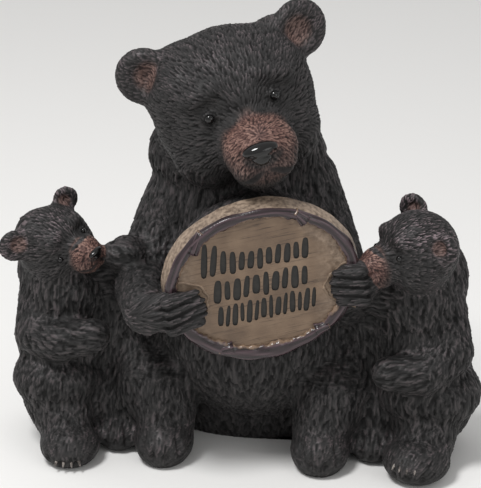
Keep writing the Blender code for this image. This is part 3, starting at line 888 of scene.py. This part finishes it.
def claws(paint):
    for name, rise in clawShape["rise"].items():
        centre, _, aim, count, spread = bearNames[name]["feet"][0]
        deselectAll()
        bpy.ops.mesh.primitive_cone_add(vertices=14, radius1=1, radius2=0.25, depth=1)
        cone = bpy.context.object
        cone.data.transform(placed((0, 0, 0.5)) @ Matrix.Diagonal(
            (clawShape["radius"], clawShape["radius"], clawShape["length"], 1)))
        copies = []
        for i in range(count):
            angle = math.radians(aim * 0.8 + (i - (count - 1) / 2) * spread * 0.5)
            out = Vector((math.sin(angle), -math.cos(angle), 0))
            base = surfaceAlong(castPoints, Vector((centre[0], centre[1], rise)), out) - out * clawShape["inside"]
            tip = (out + Vector((0, 0, -clawShape["drop"]))).normalized()
            copy = cone.data.copy()
            copy.transform(Matrix.Translation(base) @ tip.to_track_quat("Z", "Y").to_matrix().to_4x4())
            copies.append(copy)
        bpy.data.objects.remove(cone)
        finishPiece(joined(copies, name + "_claws"), paint)


claws(clawPaintAndGlints())
print("claws set")


# The plaque: a slice of a log with its bark left on, cast and painted with the bears. Its frame has
# the middle of its back at the origin, its front towards -Y, and sizes in millimetres.
board = {"sides": 240, "round": 0.8, "faceEdge": 1.2}
bark = {"inset": 2.9, "width": 1.85, "rise": 1.45, "around": 420, "ring": 22, "sink": 0.5}
# Each twig stub: its place round the rim in degrees, its length, its radius, and how far it leans
# along the rim, from -1 to 1.
stubs = ((131, 8.0, 1.7, -0.85), (57, 5.0, 1.7, 0.8), (-57, 5.0, 1.7, 0.75), (-121, 5.0, 1.8, -0.7))
# Each notch round a paw: its side, height, reach and half width.
notches = ((-1, plaque["leftPaw"] + 1.0, 14.0, 9.4), (1, plaque["rightPaw"] - 0.4, 12.2, 8.4))
# Rows of painted strokes: where the row's middle is, its length, height, count and stroke width.
strokeRows = (
    {"x": -0.9, "z": 9.3, "length": 37, "height": 7.6, "count": 12, "width": 2.4, "tallAtLeft": 5.6},
    {"x": -0.5, "z": -0.1, "length": 33, "height": 8.6, "count": 10, "width": 2.6, "tallAtLeft": 0},
    {"x": 0.2, "z": -9.2, "length": 34.5, "height": 8.6, "count": 14, "width": 1.9, "tallAtLeft": 0},
)
strokeLean = 11
strokeDepth = 0.5
strokeToolDepth = 1.5


def barkPaint():
    # Bark in plum-brown gloss paint over coarse ridges that run round the rim, with painted highlights
    # on the ridge tops and painted shade between them, worn back to tan on its inner edge and at the cut ends.
    material, tree, shader = newMaterial("bark_gloss_paint")
    wear, ridge = attribute(tree, "wear"), attribute(tree, "ridge")
    place = objectPlace(tree)
    # Painted light: paler on the ridge tops, darker in between.
    plumAndRidgeLight = ramp(tree, ridge, ((0.1, "#171111"), (0.5, "#32262a"), (0.95, "#534247")))
    worn = reckoned(tree, "MULTIPLY", wear, noise(tree, place, 1 / 0.003, 4))
    colour = mixed(tree, rescaled(tree, worn, 0.3, 0.5), plumAndRidgeLight, hexColour("#7d6857"))
    bump = bumped(tree, noise(tree, place, 1 / 0.0008), 0.35, 0.0002)
    tree.links.new(colour, shader.inputs["Base Color"])
    tree.links.new(bump, shader.inputs["Normal"])
    shader.inputs["Roughness"].default_value = 0.24
    return material


def woodPaint():
    # Tan paint rubbed over carved grain: the brown stays in the fine lines along the board.
    material, tree, shader = newMaterial("rubbed_tan_paint")
    place = attribute(tree, "boardPlace", "Vector")
    # Grain lines are about 0.6 mm apart and 12 mm long.
    stretched = addNode(tree, "ShaderNodeVectorMath", {0: place, 1: (0.075, 0.3, 1.6)}, operation="MULTIPLY")
    grain = noise(tree, stretched.outputs[0], 1.0, 4, Roughness=0.65)
    mottled = noise(tree, place, 0.7, 4)
    tan = ramp(tree, noise(tree, place, 0.11), ((0.3, "#5f4d3e"), (0.5, "#705c4a"), (0.7, "#806b57")))
    faded = reckoned(tree, "MULTIPLY", rescaled(tree, grain, 0.55, 0.66, 0, 0.8), mottled)
    face = mixed(tree, reckoned(tree, "MULTIPLY", faded, 1.7, True), tan, hexColour("#3a2c23"))
    # The side of the slice is paler, down to cream.
    pale = ramp(tree, mottled, ((0.3, "#58493d"), (0.64, "#a08d7b")))
    tree.links.new(mixed(tree, attribute(tree, "side"), face, pale), shader.inputs["Base Color"])
    tree.links.new(bumped(tree, grain, 0.5, 0.0004), shader.inputs["Normal"])
    shader.inputs["Roughness"].default_value = 0.55
    return material


def strokePaint():
    # Matt black paint run into the carved strokes, a little uneven.
    material, tree, shader = newMaterial("matt_black_paint")
    colour = ramp(tree, noise(tree, objectPlace(tree), 1 / 0.0015), ((0.35, "#171614"), (0.7, "#26231f")))
    tree.links.new(colour, shader.inputs["Base Color"])
    shader.inputs["Roughness"].default_value = 0.6
    return material


def edited(obj, *steps):
    # Runs steps in edit mode; each step is a function that selects and shapes.
    activate(obj)
    for step in steps:
        step(obj)
        bpy.ops.object.mode_set(mode="OBJECT")


def selectFaces(obj, wanted):
    # Selects the faces that wanted(centre, normal) picks, and goes into edit mode on them.
    bpy.ops.object.mode_set(mode="EDIT")
    bpy.ops.mesh.select_mode(type="FACE")
    bpy.ops.mesh.select_all(action="DESELECT")
    bpy.ops.object.mode_set(mode="OBJECT")
    for face in obj.data.polygons:
        face.select = wanted(face.center, face.normal)
    bpy.ops.object.mode_set(mode="EDIT")


def onFace(centre, normal):
    return normal.y < -0.9


def outwardNormals(obj):
    bpy.ops.object.mode_set(mode="EDIT")
    bpy.ops.mesh.select_all(action="SELECT")
    bpy.ops.mesh.normals_make_consistent(inside=False)


def newPrimitive(add, name, turn=(90, 0, 0), **settings):
    # A primitive made upright and laid down so that its axis runs along the plaque's Y.
    deselectAll()
    add(**settings)
    obj = bpy.context.object
    obj.name = name
    obj.data.transform(placed((0, 0, 0), turn))
    return obj


def flareFace(obj):
    # The slice is a little smaller in front than at its back.
    selectFaces(obj, onFace)
    half = plaque["height"] / 2
    bpy.ops.transform.resize(value=(1 - plaque["flare"] / plaqueHalf, 1, 1 - plaque["flare"] / half))


def roundEdges(obj):
    selectFaces(obj, lambda centre, normal: abs(normal.y) > 0.9)
    bpy.ops.mesh.region_to_loop()
    bpy.ops.mesh.bevel(offset=board["round"], segments=3)


def insetFace(obj):
    selectFaces(obj, onFace)
    bpy.ops.mesh.inset(thickness=board["faceEdge"])


def oneStroke():
    # A brush stroke 1 wide and 1 tall that tapers to both ends.
    obj = newPrimitive(bpy.ops.mesh.primitive_cylinder_add, "stroke", vertices=20, radius=0.5,
        depth=strokeToolDepth)
    points = vectors(obj.data)
    angle = np.arctan2(points[:, 2], points[:, 0])
    z = 0.5 * np.sign(np.sin(angle)) * np.abs(np.sin(angle)) ** 0.75
    x = 0.5 * np.sign(np.cos(angle)) * np.abs(np.cos(angle)) ** 0.55 * (1 - 0.22 * z)
    moved(obj.data, np.stack([x, points[:, 1], z], 1))
    mesh = obj.data
    bpy.data.objects.remove(obj)
    return mesh


def strokeTools():
    stroke = oneStroke()
    middleDepth = plaque["thickness"] - plaque["faceSunk"] + strokeToolDepth / 2 - strokeDepth
    copies = []
    for number, row in enumerate(strokeRows):
        pitch = row["length"] / row["count"]
        for i in range(row["count"]):
            share = i / (row["count"] - 1)
            grown = row["tallAtLeft"] * max(0, 1 - share * 3.2)
            height = row["height"] * (0.9 + 0.1 * math.sin(2.4 * i + number * 2)) + grown
            width = row["width"] * (0.9 + 0.16 * math.sin(3.1 * i + number))
            x = row["x"] + (share - 0.5) * (row["length"] - pitch)
            z = row["z"] + grown / 2 + 0.25 * math.sin(1.9 * i + number)
            lean = strokeLean + 3 * math.sin(1.7 * i + number * 3)
            copy = stroke.copy()
            copy.transform(placed((x, -middleDepth, z), (0, lean, 0)) @ Matrix.Diagonal((width, 1, height, 1)))
            copies.append(copy)
    return joined(copies, "strokes")


def addPlace(mesh):
    # The place on the plaque, in millimetres, for the grain to follow.
    layer = mesh.attributes.new("boardPlace", "FLOAT_VECTOR", "POINT")
    layer.data.foreach_set("vector", vectors(mesh).astype(np.float32).ravel())


def plaqueBoard(wood, paint):
    front = plaque["thickness"] - plaque["faceSunk"]
    obj = newPrimitive(bpy.ops.mesh.primitive_cylinder_add, "plaque_board",
        vertices=board["sides"], radius=1, depth=1)
    obj.data.transform(placed((0, -front / 2, 0)) @ Matrix.Diagonal((plaqueHalf, front, plaque["height"] / 2, 1)))
    edited(obj, flareFace, roundEdges, insetFace)
    points = vectors(obj.data)
    angle = np.arctan2(points[:, 2], points[:, 0])
    swell = 1 + 0.006 * np.sin(5 * angle + 1) + 0.003 * np.sin(11 * angle) + 0.002 * np.sin(23 * angle + 2)
    moved(obj.data, points * np.stack([swell, np.ones_like(swell), swell], 1))
    obj.data.materials.append(wood)
    tool = strokeTools()
    tool.data.materials.append(paint)
    cut = obj.modifiers.new("Boolean", "BOOLEAN")
    cut.operation = "DIFFERENCE"
    cut.object = tool
    cut.material_mode = "TRANSFER"
    applied(obj)
    bpy.data.objects.remove(tool)
    edited(obj, outwardNormals)
    points = vectors(obj.data)
    addPlace(obj.data)
    reach = np.hypot(points[:, 0] / plaqueHalf, points[:, 2] / (plaque["height"] / 2))
    addValue(obj.data, "side", smoothstep(0.915, 0.93, reach))
    obj.data.transform(plaqueFrame)
    finishPiece(obj, wood, list(obj.data.materials))
    activate(obj)
    bpy.ops.object.shade_smooth_by_angle(angle=math.radians(35))


def barkShape(angle, ring):
    # The rim's section: an oval that swells and thins along its way, with ridges along the bark.
    lump = 1 + 0.13 * np.sin(3 * angle + 1) + 0.1 * np.sin(7 * angle) + 0.07 * np.sin(17 * angle + 2)
    low = np.clip(-np.sin(angle + 0.3), 0, 1)
    wide = bark["width"] * lump * (1 + 0.3 * low)
    tall = bark["rise"] * lump * (1 + 0.1 * low)
    ridge = np.cos(5 * ring + 1.5 * np.sin(4 * angle) + 0.8 * np.sin(11 * angle))
    ridge = ridge * 0.6 + 0.4 * np.cos(9 * ring + 2 * np.sin(6 * angle + 1))
    tear = np.sin(41 * angle + 3 * np.sin(5 * angle)) * np.sin(23 * angle + 1)
    inner = np.clip(-np.cos(ring), 0, 1)
    push = 1 + 0.09 * ridge + 0.28 * tear * inner ** 3
    return wide * push, tall * push, ridge


def barkRim(paint):
    obj = newPrimitive(bpy.ops.mesh.primitive_torus_add, "plaque_bark", major_segments=bark["around"],
        minor_segments=bark["ring"], major_radius=1, minor_radius=0.1)
    points = vectors(obj.data)
    angle = np.arctan2(points[:, 2], points[:, 0])
    ring = np.arctan2(-points[:, 1], np.hypot(points[:, 0], points[:, 2]) - 1)
    wide, tall, ridge = barkShape(angle, ring)
    out = wide * np.cos(ring) - bark["inset"]
    depth = plaque["thickness"] - bark["sink"] + tall * np.sin(ring)
    moved(obj.data, np.stack([(plaqueHalf + out) * np.cos(angle), -depth,
        (plaque["height"] / 2 + out) * np.sin(angle)], 1))
    addValue(obj.data, "ridge", 0.5 + 0.5 * ridge)
    addValue(obj.data, "wear", np.clip(-np.cos(ring) * 1.1 - 0.1, 0, 1))
    edited(obj, outwardNormals)
    obj.data.transform(plaqueFrame)
    finishPiece(obj, paint)


def splitLengthways(obj):
    selectFaces(obj, lambda centre, normal: abs(normal.z) < 0.5)
    bpy.ops.mesh.subdivide(number_cuts=3, quadcorner="PATH")


def barkStub(paint, number, angle, length, radius, lean):
    # A twig cut off short: a ridged peg that leaves the rim at a slant, with a flat worn end.
    obj = newPrimitive(bpy.ops.mesh.primitive_cylinder_add, "bark_stub_" + str(number + 1), turn=(0, 0, 0),
        vertices=16, radius=1, depth=1, end_fill_type="TRIFAN")
    edited(obj, splitLengthways)
    points = vectors(obj.data)
    share, around = points[:, 2] + 0.5, np.arctan2(points[:, 1], points[:, 0])
    ridge = np.cos(6 * around + number) + 0.5 * np.cos(13 * around + 3 * share)
    spread = radius * (1.3 - 0.5 * share + 0.08 * np.sin(7 * share + number)) * (1 + 0.07 * ridge)
    points[:, :2] *= spread[:, None]
    points[:, 2] = share * length
    moved(obj.data, points)
    addValue(obj.data, "wear", smoothstep(0.93, 0.97, share))
    addValue(obj.data, "ridge", 0.5 + 0.3 * ridge)
    turn = math.radians(angle)
    outward = Vector((math.cos(turn), -0.1, math.sin(turn)))
    along = Vector((-math.sin(turn), 0, math.cos(turn)))
    aim = (outward * (1 - abs(lean) * 0.9) + along * lean).normalized()
    start = Vector(((plaqueHalf - 3.4) * math.cos(turn), 0.4 - plaque["thickness"],
        (plaque["height"] / 2 - 3.4) * math.sin(turn))) - aim * length * 0.35
    obj.data.transform(Matrix.Translation(start) @ aim.to_track_quat("Z", "Y").to_matrix().to_4x4())
    obj.data.transform(plaqueFrame)
    finishPiece(obj, paint)


def notchLip(wood, side, rise, reach, half):
    # The board is cut back round each paw and stands up there in a lip, painted paler as worn paint and as a painted
    # highlight along its ridge.
    face = plaque["thickness"] - plaque["faceSunk"]
    obj = newPrimitive(bpy.ops.mesh.primitive_torus_add, "notch_lip_" + ("left" if side < 0 else "right"),
        major_segments=96, minor_segments=10, major_radius=1, minor_radius=0.1)
    bisected(obj, (-side * 0.25, 0, 0), (side, 0, 0))
    points = vectors(obj.data)
    angle = np.arctan2(points[:, 2], -side * points[:, 0])
    ring = np.arctan2(-points[:, 1], np.hypot(points[:, 0], points[:, 2]) - 1)
    radius = 0.36 + 0.12 * np.sin(9 * angle + 2 * side) + 0.08 * np.sin(23 * angle)
    wave = 1 + 0.03 * np.sin(5 * angle + side) + 0.02 * np.sin(13 * angle)
    out = radius * 1.3 * np.cos(ring)
    x = side * (plaqueHalf - 1 - (reach * wave + out) * np.cos(angle))
    z = rise + (half * wave + out) * np.sin(angle)
    moved(obj.data, np.stack([x, -face - 0.05 - radius * np.sin(ring), z], 1))
    edited(obj, outwardNormals)
    addPlace(obj.data)
    # Paler than the face: worn paint and a painted highlight along the lip.
    addValue(obj.data, "side", np.full(len(obj.data.vertices), 0.35))
    obj.data.transform(plaqueFrame)
    finishPiece(obj, wood)


wood, barkGloss, blackPaint = woodPaint(), barkPaint(), strokePaint()
plaqueBoard(wood, blackPaint)
barkRim(barkGloss)
for number, stub in enumerate(stubs):
    barkStub(barkGloss, number, *stub)
for notch in notches:
    notchLip(wood, *notch)
print("plaque set")


# Floor, light and camera
studio = {"floor": "#efeeec", "world": "#ffffff", "worldStrength": 0.57}
camera = {"azimuth": 6, "elevation": 20, "distance": 700, "target": (0, -5, 74), "mmPerPixel": 0.352,
    "width": 481, "height": 488, "sensor": 36}


def floor():
    deselectAll()
    bpy.ops.mesh.primitive_circle_add(vertices=128, radius=6, fill_type="NGON", location=(0, 0, 0))
    obj = bpy.context.object
    obj.name = "floor"
    material, tree, shader = newMaterial("pale_paper")
    shader.inputs["Base Color"].default_value = hexColour(studio["floor"])
    shader.inputs["Roughness"].default_value = 0.9
    obj.data.materials.append(material)


def lamp(name, place, aim, size, watts, colour="#ffffff"):
    data = bpy.data.lights.new(name, "AREA")
    data.shape = "DISK"
    data.size = size
    data.energy = watts
    data.color = hexColour(colour)[:3]
    obj = bpy.data.objects.new(name, data)
    bpy.context.scene.collection.objects.link(obj)
    obj.location = place
    obj.rotation_euler = (Vector(aim) - Vector(place)).to_track_quat("-Z", "Y").to_euler()


def world():
    background = bpy.data.worlds.new("studio")
    background.use_nodes = True
    node = background.node_tree.nodes["Background"]
    node.inputs["Color"].default_value = hexColour(studio["world"])
    node.inputs["Strength"].default_value = studio["worldStrength"]
    bpy.context.scene.world = background
    bpy.context.scene.view_settings.view_transform = "Standard"


def addCamera():
    turn, tilt = math.radians(camera["azimuth"]), math.radians(camera["elevation"])
    back = Vector((math.sin(turn) * math.cos(tilt), -math.cos(turn) * math.cos(tilt), math.sin(tilt)))
    data = bpy.data.cameras.new("camera")
    data.sensor_width = camera["sensor"]
    longSide = max(camera["width"], camera["height"])
    data.lens = camera["sensor"] * camera["distance"] / (longSide * camera["mmPerPixel"])
    obj = bpy.data.objects.new("camera", data)
    bpy.context.scene.collection.objects.link(obj)
    obj.location = toFrame @ (Vector(camera["target"]) + back * camera["distance"])
    obj.rotation_euler = (-back).to_track_quat("-Z", "Y").to_euler()
    bpy.context.scene.camera = obj


floor()
world()
lamp("key", (-0.3, -0.38, 0.95), (0, 0, 0.08), 0.3, 7.0)
lamp("fill", (0.6, -0.6, 0.35), (0, 0, 0.08), 0.5, 0.9)
addCamera()
print("studio set")
